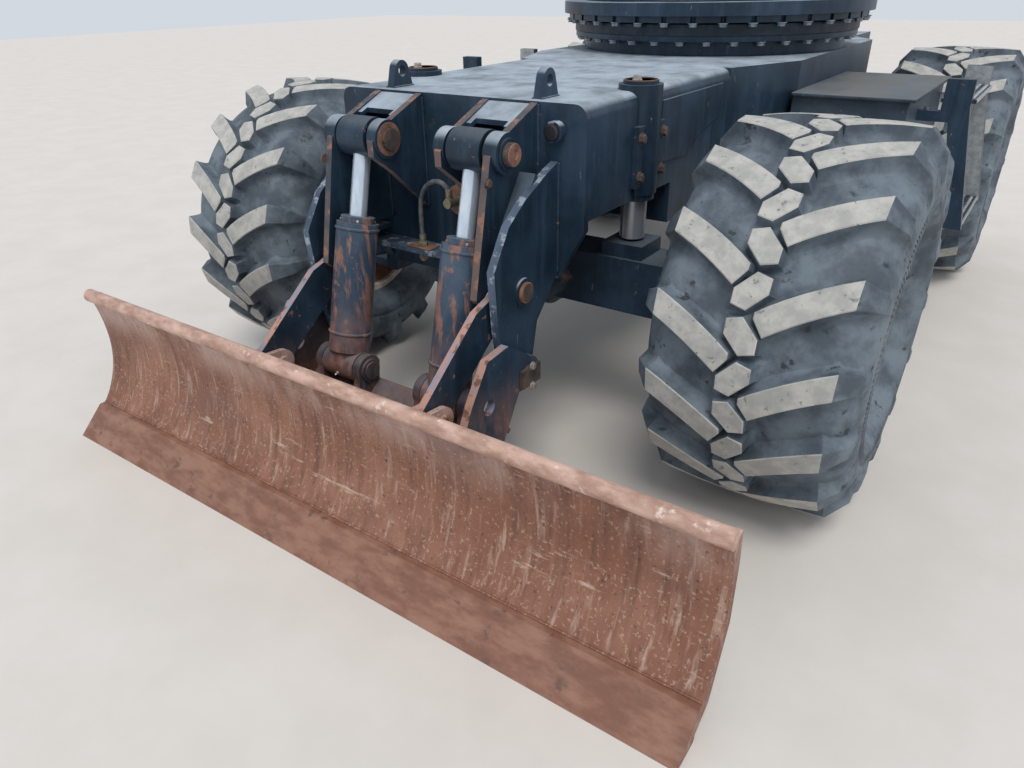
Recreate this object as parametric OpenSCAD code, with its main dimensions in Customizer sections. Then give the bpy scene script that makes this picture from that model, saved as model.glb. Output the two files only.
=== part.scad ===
// Wheeled excavator undercarriage: frame, axles, slewing ring and front dozer blade.
// Millimetres. X is across the machine, the blade is at -Y, Z is up from the ground.
// Inside the modules Y starts at the front axle; place() moves it to the part's own origin.

/* [Wheels] */
// Radius of the tyres over the lugs
tyre_r = 590; // [570:5:600]
// Width of a tyre
tyre_w = 600; // [560:10:610]
// Distance between the front and rear axle
wheelbase = 2600; // [2550:10:2800]
// Distance between the middles of the tyres of an axle
track = 2080; // [2070:10:2140]
// Radius of the rim flange
rim_r = 300; // [290:5:305]
// Kingpin from the centre line
kingpin_x = 800; // [795:5:805]

/* [Frame] */
// Height of the frame's top plate over the ground
frame_z = 1220; // [1215:1:1225]
// Half width of the frame at the front
frame_x = 480; // [470:1:485]
// Half width of the frame under the slewing ring
frame_wide_x = 630; // [620:5:650]
// Front face of the front plate, from the front axle
front_y = -383; // [-390:1:-380]
// Frame behind the rear axle
rear_overhang = 380; // [350:10:400]

/* [Slewing ring] */
// Slewing axis, in front of the rear axle
slew_back = 920; // [890:10:950]
// Outer radius of the turning ring
ring_out_r = 735; // [725:5:745]
// Width of the turning ring
ring_w = 106; // [100:1:110]
// Width of the fixed ring's race
race_w = 88; // [80:1:95]
// Step in from the turning ring to the fixed ring's flange
flange_step = 55; // [50:1:60]
// Step in from that flange to the collar on the frame
collar_step = 55; // [50:1:60]
// Number of bolts in each ring
ring_bolts = 36; // [24:4:40]

/* [Dozer blade] */
// Width of the blade
blade_w = 2480; // [2400:10:2500]
// Height of the blade
blade_h = 545; // [540:1:550]
// Cutting edge, from the front axle
edge_y = -1240; // [-1245:1:-1235]
// Thickness of the blade's skin
skin = 14; // [12:1:15]

/* [Lift linkage] */
// Lower arm's pivot on the frame, Y
arm_y = -600; // [-605:1:-595]
// Lower arm's pivot on the frame, Z
arm_z = 465; // [460:1:470]
// Upper link's pivot over the lower arm's, Y
link_dy = 23; // [20:1:26]
// Upper link's pivot over the lower arm's, Z
link_dz = 255; // [250:1:260]
// Reach of arm and links to the blade, Y
reach_y = -365; // [-370:1:-360]
// Reach of arm and links to the blade, Z
reach_z = -270; // [-275:1:-265]
// Pin of the lift cylinder's rod, Y
top_y = -560; // [-562:1:-558]
// Pin of the lift cylinder's rod, Z
top_z = 1105; // [1103:1:1107]
// Pin of the lift cylinder's barrel, Y
base_y = -745; // [-747:1:-743]
// Pin of the lift cylinder's barrel, Z
base_z = 390; // [388:1:392]
// Lift cylinders from the centre line
cyl_x = 220; // [219:1:221]
// Diameter of a lift cylinder's barrel
barrel_d = 136; // [130:1:136]

/* [Front axle] */
// Height of the axle's pivot
pivot_z = 660; // [655:1:665]
// Half width between the oscillation lock cylinders
lock_x = 450; // [448:1:455]
// Top of the pads on the axle beam
pad_z = 738; // [736:1:740]
// Length of the steering arms on the knuckles
steer_arm = 200; // [196:1:204]

/* [Hidden] */
$fn = 48;

// The part's origin is under the middle of its outline.
frame_end_y = wheelbase + rear_overhang;
slew_y = wheelbase - slew_back;
flange_r = ring_out_r - flange_step;
collar_r = flange_r - collar_step;
race_gap = 1;
race_r = ring_out_r - ring_w - race_gap;
front_axle_y = -(edge_y + wheelbase + tyre_r) / 2;
axle_z = tyre_r;
wheel_x = track / 2;
arm_pin = [arm_y, arm_z];
link_pin = [arm_y + link_dy, arm_z + link_dz];
arm_end = [arm_y + reach_y, arm_z + reach_z];
link_end = [arm_end.x + link_dy, arm_end.y + link_dz];
top_pin = [top_y, top_z];
base_pin = [base_y, base_z];
// Planes across the machine: [inner face, thickness].
ear_in = [121, 24];
ear_out = [295, 24];
link_plane = [325, 24];
side_plane = [364, 26];
arm_plane = [397, 26];
paint = [0.10, 0.12, 0.16];
rust = [0.42, 0.26, 0.20];
steel = [0.75, 0.76, 0.78];
rubber = [0.30, 0.33, 0.37];

module place() { translate([0, front_axle_y, 0]) children(); }
module side(s) { mirror([s < 0 ? 1 : 0, 0, 0]) children(); }
module both() { for (s = [1, -1]) side(s) children(); }
// A plate drawn in the Y-Z plane, from x0 and t thick.
module plate(x0, t) { translate([x0, 0, 0]) rotate([90, 0, 90]) linear_extrude(t) children(); }
// A round bar along X, Y or Z.
module bar_x(x0, x1, d, p = [0, 0]) { translate([x0, p.x, p.y]) rotate([0, 90, 0]) cylinder(h = x1 - x0, d = d); }
module bar_y(y0, y1, d, x = 0, z = 0) { translate([x, y0, z]) rotate([-90, 0, 0]) cylinder(h = y1 - y0, d = d); }
module bar_z(z0, z1, d, x = 0, y = 0) { translate([x, y, z0]) cylinder(h = z1 - z0, d = d); }
module box(x0, x1, y0, y1, z0, z1) { translate([x0, y0, z0]) cube([x1 - x0, y1 - y0, z1 - z0]); }
function arc(c, r, a0, a1, n) = [for (i = [0:n]) let (a = a0 + (a1 - a0) * i / n) [c.x + r * cos(a), c.y + r * sin(a)]];
function mirrored(p) = concat(p, [for (i = [len(p) - 1:-1:0]) [-p[i].x, p[i].y]]);

// Frame
frame_t = 16;
arch_z = 890;
frame_low = 745;
edge_r = 40;

module frame_section(w, z0, z1, r) {
    polygon(mirrored(concat([[0, z0], [w, z0]], arc([w - r, z1 - r], r, 0, 90, 8), [[0, z1]])));
}
module frame_plan(inset) {
    w = frame_x - inset; v = frame_wide_x - inset;
    polygon(mirrored([[0, 700 + inset], [w, 700 + inset], [v, slew_y - 600], [v, slew_y + 650], [w, wheelbase - 40],
        [w, frame_end_y - inset], [0, frame_end_y - inset]]));
}
module lock_holes() { both() bar_z(800, 1300, 141, lock_x, 0); }
// Brackets that carry the front axle's pivot, in front of and behind it.
module hangers() {
    for (y = [-214, 184]) difference() {
        translate([0, y + 30, 0]) rotate([90, 0, 0]) linear_extrude(30)
            polygon(concat([[170, arch_z + 4], [-170, arch_z + 4]], arc([0, pivot_z], 80, 200, 340, 12)));
        bar_y(y - 4, y + 40, 90.6, 0, pivot_z);
    }
}
module frame() {
    color(paint) place() {
        // front box, with a rounded top edge, arched over the front axle
        difference() {
            translate([0, 760, 0]) rotate([90, 0, 0]) linear_extrude(760 - front_y - 24)
                frame_section(frame_x, frame_low, frame_z, edge_r);
            translate([0, 800, 0]) rotate([90, 0, 0]) linear_extrude(1300)
                frame_section(frame_x - frame_t, frame_low - 50, frame_z - frame_t, edge_r - frame_t);
            box(-600, 600, -500, 215, 600, arch_z);
            lock_holes();
        }
        difference() {
            union() {
                box(-frame_x + 2, frame_x - 2, front_y + 24, 231, arch_z, arch_z + frame_t);
                box(-frame_x + 2, frame_x - 2, 215, 231, frame_low, arch_z + frame_t);
            }
            lock_holes();
        }
        hangers();
        // middle and rear, wider under the slewing ring
        difference() {
            translate([0, 0, frame_low]) linear_extrude(frame_z - frame_low) frame_plan(0);
            translate([0, 0, frame_low + frame_t]) linear_extrude(frame_z - frame_low - 2 * frame_t) frame_plan(frame_t);
            // bolt holes for the tow lug at the rear
            for (x = [-90, 90], z = [860, 980]) bar_y(frame_end_y - 60, frame_end_y + 10, 22, x, z);
        }
        // bolted covers on the side walls behind the boxes
        both() bar_x(frame_wide_x - 2, frame_wide_x + 8, 190, [slew_y + 420, 960]);
        // floor of the front box behind the axle
        box(-frame_x + 4, frame_x - 4, 215, 720, frame_low, frame_low + frame_t);
        // lifting lugs on the top
        for (x = [-290, 290]) translate([x - 14, -300, frame_z - 2]) rotate([90, 0, 90]) linear_extrude(28)
            difference() {
                polygon(concat([[-48, 0], [48, 0]], arc([0, 52], 32, 10, 170, 10)));
                translate([0, 50]) circle(d = 34);
            }
    }
}

// Bracket that carries the blade
module ring_2d(d, hole) { difference() { circle(d = d); circle(d = hole); } }
module ear_outer() {
    polygon([[front_y - 4, 1217], [-600, 1130], [-622, 1104], [-708, 718], [-690, 700], [-560, 800], [front_y - 4, 800]]);
}
module ear_inner() {
    polygon([[front_y - 4, 1217], [-600, 1130], [-622, 1104], [-622, 1060], [-540, 1000], [front_y - 4, 860]]);
}
module side_outline() {
    polygon(concat([[front_y - 4, 1060], [-442, 1040], [-560, 985], [-640, 928], [-714, 816], [-700, 620], [-668, 468]],
        arc(arm_pin, 66, 190, 350, 10), [[-500, 600], [-448, 652], [front_y - 4, 720]]));
}
module blade_mount() {
    color(paint) place() {
        difference() {
            union() {
                // front plate
                translate([0, front_y, 0]) rotate([-90, 0, 0]) translate([0, 0, 0]) linear_extrude(24)
                    mirror([0, 1]) polygon(mirrored(concat([[0, 700], [390, 700], [frame_x, 860]],
                        arc([frame_x - 40, frame_z - 40], 40, 0, 90, 6), [[0, frame_z]])));
                both() {
                    plate(ear_in.x, ear_in.y) ear_inner();
                    plate(ear_out.x, ear_out.y) ear_outer();
                    plate(side_plane.x, side_plane.y) side_outline();
                    // sloping cover between the ears, notched round the rod eye
                    plate(ear_in.x, ear_out.x + 24 - ear_in.x)
                        polygon([[front_y - 4, 1213], [-500, 1165], [-500, 1150], [front_y - 4, 1198]]);
                    // bosses of the top pin and the two pivots
                    bar_x(ear_in.x - 8, ear_in.x + 30, 116, top_pin);
                    bar_x(ear_out.x - 6, ear_out.x + 40, 116, top_pin);
                    bar_x(side_plane.x - 6, side_plane.x + 34, 84, link_pin);
                    // web between ear and side plate, and a closing plate behind
                    plate(ear_out.x + 10, side_plane.x - ear_out.x)
                        polygon([[-470, 1030], [-600, 850], [-612, 858], [-484, 1042]]);
                    plate(ear_out.x + 10, side_plane.x - ear_out.x)
                        polygon([[front_y - 4, 760], [-475, 760], [-475, 775], [front_y - 4, 775]]);
                }
                // cross plate under the ears
                box(-side_plane.x - 8, side_plane.x + 8, -470, front_y + 4, 716, 732);
                // bulkhead boss for the hoses
                bar_y(front_y - 30, front_y + 4, 96, 30, 905);
            }
            both() {
                bar_x(60, 420, 66.4, top_pin);
                bar_x(300, 460, 56.4, link_pin);
                bar_x(300, 460, 66.4, arm_pin);
            }
            // eyes pass through the cover
            both() box(162, 278, -640, -475, 1040, 1240);
        }
        // boss of the capped bolt beside the ears
        both() bar_y(front_y - 26, front_y + 4, 60, 382, 1144);
    }
}
module mount_pins() {
    color(steel) place() both() {
        difference() { bar_x(100, 356, 66, top_pin); bar_x(346, 360, 22, top_pin); }
        bar_x(318, 410, 56, link_pin);
        bar_x(356, 436, 66, arm_pin);
        plate(425, 12) translate(arm_pin) square([96, 60], center = true);
    }
}

// Lift cylinders
cyl_axis = [top_pin.x - base_pin.x, top_pin.y - base_pin.y];
cyl_len = norm(cyl_axis);
cyl_tilt = atan2(cyl_axis.x, cyl_axis.y);
gland = 486;
eye_w = 116;
// Bore of the rod eye: the eye drifts round its pin by up to 17 mm as the arm swings.
eye_bore = 102;
eye_d = 122;
module along_cylinder(s) {
    translate([s * cyl_x, base_pin.x, base_pin.y]) rotate([-cyl_tilt, 0, 0]) children();
}
module lift_barrel(s) {
    color(paint) place() difference() {
        union() {
            along_cylinder(s) {
                translate([0, 0, 48]) cylinder(h = gland - 48 - 14, d = barrel_d);
                cylinder(h = gland, d = barrel_d - 26);
            }
            bar_x(s * cyl_x - 70, s * cyl_x + 70, 106, base_pin);
        }
        bar_x(s * cyl_x - 80, s * cyl_x + 80, 61, base_pin);
        along_cylinder(s) translate([0, 0, 78]) cylinder(h = 500, d = 76);
    }
}
module lift_rod(s) {
    color(steel) place() difference() {
        union() {
            along_cylinder(s) {
                translate([0, 0, 230]) cylinder(h = cyl_len - 230 - eye_d / 2 + 8, d = 56);
                translate([0, 0, 200]) cylinder(h = 34, d = 75);
            }
            bar_x(s * cyl_x - eye_w / 2, s * cyl_x + eye_w / 2, eye_d, top_pin);
        }
        bar_x(s * cyl_x - 80, s * cyl_x + 80, eye_bore, top_pin);
    }
}

// Lower arm and upper links
module arm_outline() {
    difference() {
        polygon(concat(arc(arm_pin, 60, -40, 75, 8), [[-700, 600], [-800, 590], [-880, 480], [-1005, 230]],
            arc(arm_end, 46, 150, 330, 8), [[-745, 270], [-650, 425]]));
        translate([-800, 445]) circle(d = 52);
    }
}
module lower_arm() {
    color(paint) place() {
        difference() {
            union() {
                both() plate(arm_plane.x, arm_plane.y) arm_outline();
                // flanged cross plate, parallel to the arm, under the cylinder bases
                plate(-arm_plane.x - 4, 2 * arm_plane.x + 8) translate([-703, 343])
                    rotate(atan2(reach_z, reach_y))
                        polygon([[0, 0], [243, 0], [243, 50], [227, 50], [227, 20], [16, 20], [16, 60], [0, 60]]);
                // hooked ears and pins of the cylinder bases
                both() {
                    for (x = [cyl_x - 102, cyl_x + 74]) plate(x, 28)
                        polygon(concat([[-706, 332], [-830, 240]], arc(base_pin, 52, 205, 20, 10)));
                    bar_x(cyl_x - 116, cyl_x + 102, 60, base_pin);
                    bar_x(cyl_x - 110, cyl_x - 100, 78, base_pin);
                }
            }
            both() {
                bar_x(380, 440, 66.8, arm_pin);
                bar_x(380, 440, 49.8, arm_end);
            }
        }
    }
}
module link_outline() {
    u = [reach_y, reach_z] / norm([reach_y, reach_z]);
    v = [u.y, -u.x];
    l = norm([reach_y, reach_z]);
    function at(a, b) = link_pin + a * u + b * v;
    difference() {
        union() {
            polygon([at(0, -40), at(l, -40), at(l + 42, 20), at(l + 34, 78), at(150, 86), at(20, 40)]);
            translate(link_pin) circle(r = 42);
            translate(link_end) circle(r = 42);
        }
        translate(link_pin) circle(d = 56.8);
        translate(link_end) circle(d = 46.8);
    }
}
module upper_link(s) {
    color(paint) place() side(s) plate(link_plane.x, link_plane.y) link_outline();
}

// Blade
face_y = -1034;
face_z = 340;
low_r = 390;
high_r = 600;
// Bottom of the skin, on the cutting edge, and the edge's height in front of it.
edge_top = 14;
edge_h = 96;
low_c = [face_y - low_r, face_z];
high_c = [face_y - high_r, face_z];
function face(z, back = 0) = z < face_z
    ? low_c.x + sqrt(pow(low_r + back, 2) - pow(z - face_z, 2))
    : high_c.x + sqrt(pow(high_r + back, 2) - pow(z - face_z, 2));
lip_z = blade_h - 24;
// All that lies behind the blade's face, moved back by so much, between two heights.
module behind(back, z0, z1) {
    far = face_y + 200;
    difference() {
        union() {
            if (z0 < face_z) translate([low_c.x, z0]) square([far - low_c.x, min(z1, face_z) - z0]);
            if (z1 > face_z) translate([low_c.x, max(z0, face_z)]) square([far - low_c.x, z1 - max(z0, face_z)]);
        }
        if (z0 < face_z) intersection() {
            translate(low_c) circle(r = low_r + back, $fn = 180);
            translate([low_c.x - 10, z0 - 10]) square([low_r + back + 20, min(z1, face_z) - z0 + 10]);
        }
        if (z1 > face_z) intersection() {
            translate(high_c) circle(r = high_r + back, $fn = 180);
            translate([low_c.x - 10, max(z0, face_z)]) square([low_r + back + 20, z1 - max(z0, face_z) + 10]);
        }
    }
}
module blade_skin() {
    difference() {
        behind(0, edge_top, lip_z);
        behind(skin, edge_top - 1, lip_z + 1);
    }
}
module blade_end() {
    intersection() {
        behind(0, edge_top, lip_z);
        polygon([[edge_y, edge_top], [edge_y, lip_z], [face(lip_z) + 46, lip_z], [face_y + 30, face_z + 80],
            [face_y + 30, face_z - 90], [face(60) + 76, 60], [face(edge_top) + 52, edge_top]]);
    }
}
module blade() {
    color(rust) place() {
                plate(-blade_w / 2 + 2, blade_w - 4) blade_skin();
                bar_x(-blade_w / 2, blade_w / 2, 48, [face(lip_z) + 6, lip_z]);
                // closing plate of the box behind the skin
                plate(-blade_w / 2 + 2, blade_w - 4) intersection() {
                    behind(skin - 2, 40, face_z + 40);
                    polygon([[edge_y, 40], [edge_y, face_z + 40], [face_y + 26, face_z + 40],
                        [face_y + 26, face_z - 80], [face(40) + 64, 40]]);
                }
                both() {
                    plate(blade_w / 2 - 16, 16) blade_end();
                    // ears for the upper link and the lower arm
                    for (x = [link_plane.x - 24, link_plane.x + link_plane.y + 4]) plate(x, 18)
                        polygon(concat([[-1030, 330], [-1044, 505]], arc(link_end, 44, 80, -60, 8)));
                    for (x = [arm_plane.x - 24, arm_plane.x + arm_plane.y + 6]) plate(x, 18)
                        polygon(concat([[-1060, 110], [-1024, 330]], arc(arm_end, 44, 80, -60, 8)));
                }
        both() {
            bar_x(link_plane.x - 34, link_plane.x + 52, 46, link_end);
            bar_x(arm_plane.x - 32, arm_plane.x + 60, 49, arm_end);
        }
    }
}
module cutting_edge() {
    color(rust) place() plate(-blade_w / 2, blade_w) difference() {
        polygon([[edge_y, 0], [face(edge_h) - 22, edge_h], [face(edge_h) + 20, edge_h], [face(0) + 84, 0]]);
        behind(-0.3, edge_top - 0.3, edge_h + 10);
    }
}

// Slewing ring
module on_slew() { place() translate([0, slew_y, 0]) children(); }
module ring_holes(r, d, z0, z1, n, a0 = 0) {
    for (i = [0:n - 1]) rotate([0, 0, a0 + i * 360 / n]) translate([r, 0, z0]) cylinder(h = z1 - z0, d = d);
}
module turret_collar() {
    color(paint) on_slew() difference() {
        union() {
            translate([0, 0, frame_z]) cylinder(h = 78, r = collar_r, $fn = 96);
            translate([0, 0, frame_z + 58]) cylinder(h = 24, r = flange_r - 4, $fn = 96);
        }
        translate([0, 0, frame_z - 10]) cylinder(h = 120, r = 410, $fn = 96);
        ring_holes(flange_r - 26, 22, frame_z + 50, frame_z + 90, ring_bolts);
    }
}
module slew_ring_fixed() {
    color(steel) on_slew() difference() {
        union() {
            translate([0, 0, frame_z + 82]) cylinder(h = 46, r = flange_r, $fn = 96);
            translate([0, 0, frame_z + 100]) cylinder(h = 90, r = race_r, $fn = 96);
        }
        translate([0, 0, frame_z + 70]) cylinder(h = 140, r = race_r - race_w, $fn = 96);
        ring_holes(flange_r - 26, 22, frame_z + 80, frame_z + 130, ring_bolts);
    }
}
module slew_ring_turning() {
    color(paint) on_slew() difference() {
        union() {
            translate([0, 0, frame_z + 134]) cylinder(h = 66, r = ring_out_r - 24, $fn = 96);
            translate([0, 0, frame_z + 160]) cylinder(h = 52, r = ring_out_r, $fn = 96);
        }
        translate([0, 0, frame_z + 100]) cylinder(h = 140, r = ring_out_r - ring_w, $fn = 96);
        ring_holes(ring_out_r - 32, 26, frame_z + 120, frame_z + 230, ring_bolts, 5);
    }
}

// Rotary manifold in the ring's centre, with its hose ports.
module centre_swivel() {
    color(steel) on_slew() {
        translate([0, 0, frame_z + 0.2]) cylinder(h = 20, d = 330);
        translate([0, 0, frame_z + 19]) cylinder(h = 130, d = 210);
        for (i = [0:3]) translate([0, 0, frame_z + 34 + 28 * i]) cylinder(h = 14, d = 222);
        translate([0, 0, frame_z + 148]) cylinder(h = 22, d = 150);
        ring_holes(148, 26, frame_z + 19, frame_z + 34, 8, 22.5);
    }
}

// Oscillation locks
lock_gap = 3;
foot_r = 150;
plunger_d = 87;
module lock_barrel(s) {
    color(paint) place() side(s) difference() {
        union() {
            bar_z(900, 1236, 140, lock_x, 0);
            bar_z(880, 910, 128, lock_x, 0);
            box(frame_x + 0.2, frame_x + 20, -92, 92, 930, 1120);
            bar_z(1200, 1246, 112, lock_x, 0);
        }
        bar_z(860, 1180, plunger_d + 1, lock_x, 0);
        for (z = [965, 1085]) bar_x(frame_x - 2, frame_x + 20, 18, [-78, z]);
    }
}
module lock_plunger(s) {
    r = plunger_d / 2;
    dome = foot_r - sqrt(pow(foot_r, 2) - pow(r, 2));
    color(steel) place() side(s) translate([lock_x, 0, pad_z + lock_gap]) rotate_extrude($fn = 64)
        polygon(concat([for (i = [0:10]) let (x = r * i / 10) [x, foot_r - sqrt(pow(foot_r, 2) - x * x)]],
            [[r, 330], [0, 330]]));
}

// Front axle
module axle_casing(y) {
    // cast centre with the differential, tapering arms and end flanges
    translate([0, y, axle_z]) rotate([0, 90, 0]) {
        cylinder(h = 300, d = 300, center = true);
        for (m = [0, 1]) mirror([0, 0, m]) {
            translate([0, 0, 140]) cylinder(h = 130, d1 = 290, d2 = 180);
            translate([0, 0, 260]) cylinder(h = 380, d = 170);
            translate([0, 0, 600]) cylinder(h = 50, d = 230);
        }
    }
}
module front_axle_beam() {
    color(paint) place() {
        difference() {
            union() {
                axle_casing(0);
                // square arms under the pads
                both() box(190, 620, -88, 88, 500, 690);
                // pads of the oscillation locks
                both() box(lock_x - 75, lock_x + 75, -75, 75, 684, pad_z);
                bar_y(-182, 182, 190, 0, pivot_z);
                // forks that hold the kingpins
                both() for (z = [axle_z - 150, axle_z + 118]) {
                    box(640, kingpin_x, -52, 52, z, z + 32);
                    bar_z(z, z + 32, 104, kingpin_x, 0);
                }
                both() box(612, 668, -70, 70, axle_z - 150, axle_z + 150);
            }
            both() bar_z(axle_z - 200, axle_z + 200, 50.6, kingpin_x, 0);
        }
        bar_y(-222, 222, 90, 0, pivot_z);
    }
}
steer_z = 530;
module steering_cylinder() {
    color(paint) place() difference() {
        union() {
            bar_x(-310, 310, 74, [steer_arm, steer_z]);
            both() box(272, 302, 88.2, steer_arm, 504, 556);
        }
        bar_x(-340, 340, 40.6, [steer_arm, steer_z]);
    }
}
module steering_rod() {
    color(steel) place() {
        bar_x(-kingpin_x + 30, kingpin_x - 30, 40, [steer_arm, steer_z]);
        both() {
            bar_z(steer_z - 24, steer_z + 24, 66, kingpin_x, steer_arm);
        }
    }
}
module knuckle(s) {
    color(paint) place() side(s) difference() {
        union() {
            bar_z(axle_z - 112, axle_z + 112, 116, kingpin_x, 0);
            bar_z(axle_z - 172, axle_z + 172, 50, kingpin_x, 0);
            bar_x(kingpin_x, kingpin_x + 172, 210, [0, axle_z]);
            bar_x(kingpin_x + 160, wheel_x + 60, 120, [0, axle_z]);
            // steering arm
            box(kingpin_x - 30, kingpin_x + 30, 30, steer_arm, steer_z - 51, steer_z - 27);
            bar_z(steer_z - 51, steer_z - 27, 66, kingpin_x, steer_arm);
        }
    }
}

// Rear axle and drive
module rear_axle() {
    color(paint) place() {
        axle_casing(wheelbase);
        both() {
            box(330, 440, wheelbase - 110, wheelbase + 110, 660, frame_low - 0.2);
            bar_x(640, kingpin_x + 172, 210, [wheelbase, axle_z]);
            bar_x(kingpin_x + 160, wheel_x + 60, 120, [wheelbase, axle_z]);
        }
        bar_y(gearbox_end + 0.2, wheelbase - 120, 150, 0, axle_z);
    }
}
gearbox_end = wheelbase - 262;
gearbox_y = gearbox_end - 258;
module transmission() {
    color(paint) place() {
        box(-190, 190, gearbox_y, gearbox_end, axle_z - 120, frame_low - 0.2);
        bar_y(gearbox_y - 120, gearbox_y + 2, 160, 0, pivot_z);
        bar_y(gearbox_y - 180, gearbox_y + 2, 130, 110, axle_z - 45);
    }
}
module drive_shaft() {
    color(paint) place() {
        bar_y(228, gearbox_y - 120.2, 76, 0, pivot_z);
        bar_y(223, 240, 130, 0, pivot_z);
    }
}

// Wheels
module on_wheel(s, y) { place() translate([s * wheel_x, y, axle_z]) side(s) rotate([0, 90, 0]) children(); }
carcass_r = tyre_r - 40;
module tyre(s, y) {
    h = tyre_w / 2;
    color(rubber) on_wheel(s, y) rotate_extrude($fn = 72)
        polygon([[rim_r - 13.7, -208.7], [rim_r + 2, -211], [rim_r + 16, -240], [rim_r + 40, -h + 24], [430, -h],
            [520, -h + 10], [tyre_r - 12, -h + 40], [tyre_r, -h + 70], [tyre_r, h - 70], [tyre_r - 12, h - 40],
            [520, h - 10], [430, h], [rim_r + 40, h - 24], [rim_r + 16, 240], [rim_r + 2, 211], [rim_r - 13.7, 208.7]]);
}
module rim(s, y) {
    color(rust) on_wheel(s, y) rotate_extrude($fn = 72)
        polygon([[rim_r, -230], [rim_r, -212], [rim_r - 14, -209], [rim_r - 44, -110], [rim_r - 44, 110],
            [rim_r - 14, 209], [rim_r, 212], [rim_r, 230], [rim_r - 26, 230], [rim_r - 34, 200], [rim_r - 60, 120],
            [rim_r - 60, 80], [222, 108], [170, 108], [170, 90], [214, 90], [rim_r - 60, 50], [rim_r - 60, -120],
            [rim_r - 34, -200], [rim_r - 26, -230]]);
}
module hub(s, y) {
    color([0.62, 0.63, 0.63]) on_wheel(s, y) difference() {
        rotate_extrude($fn = 72) polygon([[60.4, -60], [150, -60], [150, 66], [205, 66], [205, 89.8], [169.6, 89.8],
            [169.6, 176], [150, 190], [0, 190], [0, 66], [60.4, 66]]);
        for (a = [0:45:315]) rotate([0, 0, a]) translate([118, -6, 176]) cube([30, 12, 20]);
    }
}

// Boxes and steps
box_x = 1070;
box_y0 = slew_y - 660;
box_y1 = slew_y + 160;
step_y0 = box_y0 + 220;
step_y1 = box_y1;
module toolbox(s) {
    color(paint) place() side(s) {
        box(frame_wide_x + 0.2, box_x, box_y0, box_y1, 800, 1096);
        box(frame_wide_x + 0.2, box_x + 22, box_y0 - 20, box_y1 + 20, 1094, 1108);
    }
}
module steps(s) {
    color([0.55, 0.56, 0.57]) place() side(s) {
        // bent flat stringers, bolted to the box
        for (y = [step_y0, step_y1 - 40]) translate([0, y + 40, 0]) rotate([90, 0, 0]) linear_extrude(40)
            polygon([[box_x + 80, 1160], [box_x + 180, 1160], [box_x + 180, 1060], [box_x + 260, 585], [box_x + 192, 585],
                [box_x + 116, 1000], [box_x + 0.2, 1000], [box_x + 0.2, 1040], [box_x + 80, 1040]]);
        box(box_x + 70, box_x + 195, step_y0 + 39, step_y1 - 39, 1070, 1084);
        box(box_x + 110, box_x + 256, step_y0 + 39, step_y1 - 39, 590, 604);
    }
}
module hoses() {
    color([0.12, 0.12, 0.12]) place() {
        bar_y(front_y - 90, front_y - 30.2, 30, 30, 905);
    }
}

frame();
blade_mount();
mount_pins();
turret_collar();
slew_ring_fixed();
slew_ring_turning();
centre_swivel();
lock_barrel(1);  // lock_barrel_left
lock_barrel(-1);  // lock_barrel_right
lock_plunger(1);  // lock_plunger_left
lock_plunger(-1);  // lock_plunger_right
toolbox(1);  // toolbox_left
toolbox(-1);  // toolbox_right
steps(1);  // steps_left
steps(-1);  // steps_right
front_axle_beam();
steering_cylinder();
steering_rod();
knuckle(1);  // knuckle_left
knuckle(-1);  // knuckle_right
rear_axle();
transmission();
drive_shaft();
tyre(1, 0);  // tyre_front_left
tyre(-1, 0);  // tyre_front_right
tyre(1, wheelbase);  // tyre_rear_left
tyre(-1, wheelbase);  // tyre_rear_right
rim(1, 0);  // rim_front_left
rim(-1, 0);  // rim_front_right
rim(1, wheelbase);  // rim_rear_left
rim(-1, wheelbase);  // rim_rear_right
hub(1, 0);  // hub_front_left
hub(-1, 0);  // hub_front_right
hub(1, wheelbase);  // hub_rear_left
hub(-1, wheelbase);  // hub_rear_right
lower_arm();
upper_link(1);  // upper_link_left
upper_link(-1);  // upper_link_right
lift_barrel(1);  // lift_barrel_left
lift_barrel(-1);  // lift_barrel_right
lift_rod(1);  // lift_rod_left
lift_rod(-1);  // lift_rod_right
blade();
cutting_edge();
hoses();
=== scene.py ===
"""Looks of a wheeled excavator's undercarriage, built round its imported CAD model.

Metres. X is across the machine with its left side at +X, the blade is at -Y, Z is up from the ground.
"""
import bpy
import math
import random
from mathutils import Matrix, Vector


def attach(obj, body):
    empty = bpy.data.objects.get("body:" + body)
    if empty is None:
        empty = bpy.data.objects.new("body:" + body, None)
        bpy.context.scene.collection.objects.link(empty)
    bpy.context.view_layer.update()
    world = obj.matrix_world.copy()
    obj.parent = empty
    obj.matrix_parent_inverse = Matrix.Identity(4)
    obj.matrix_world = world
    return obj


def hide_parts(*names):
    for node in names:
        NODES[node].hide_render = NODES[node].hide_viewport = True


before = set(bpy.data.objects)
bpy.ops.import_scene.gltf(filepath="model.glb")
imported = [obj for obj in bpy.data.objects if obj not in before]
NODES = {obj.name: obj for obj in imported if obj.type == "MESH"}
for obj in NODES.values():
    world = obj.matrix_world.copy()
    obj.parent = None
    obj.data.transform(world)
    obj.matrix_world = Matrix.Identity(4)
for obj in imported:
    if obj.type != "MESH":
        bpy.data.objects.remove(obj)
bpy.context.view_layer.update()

# Places that the pieces below share, from the CAD model.
FRONT_AXLE_Y = -0.975
WHEELBASE = 2.6
REAR_AXLE_Y = FRONT_AXLE_Y + WHEELBASE
AXLE_Z = 0.59
WHEEL_X = 1.04
SLEW_Y = 0.705
FRAME_Z = 1.22
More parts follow.
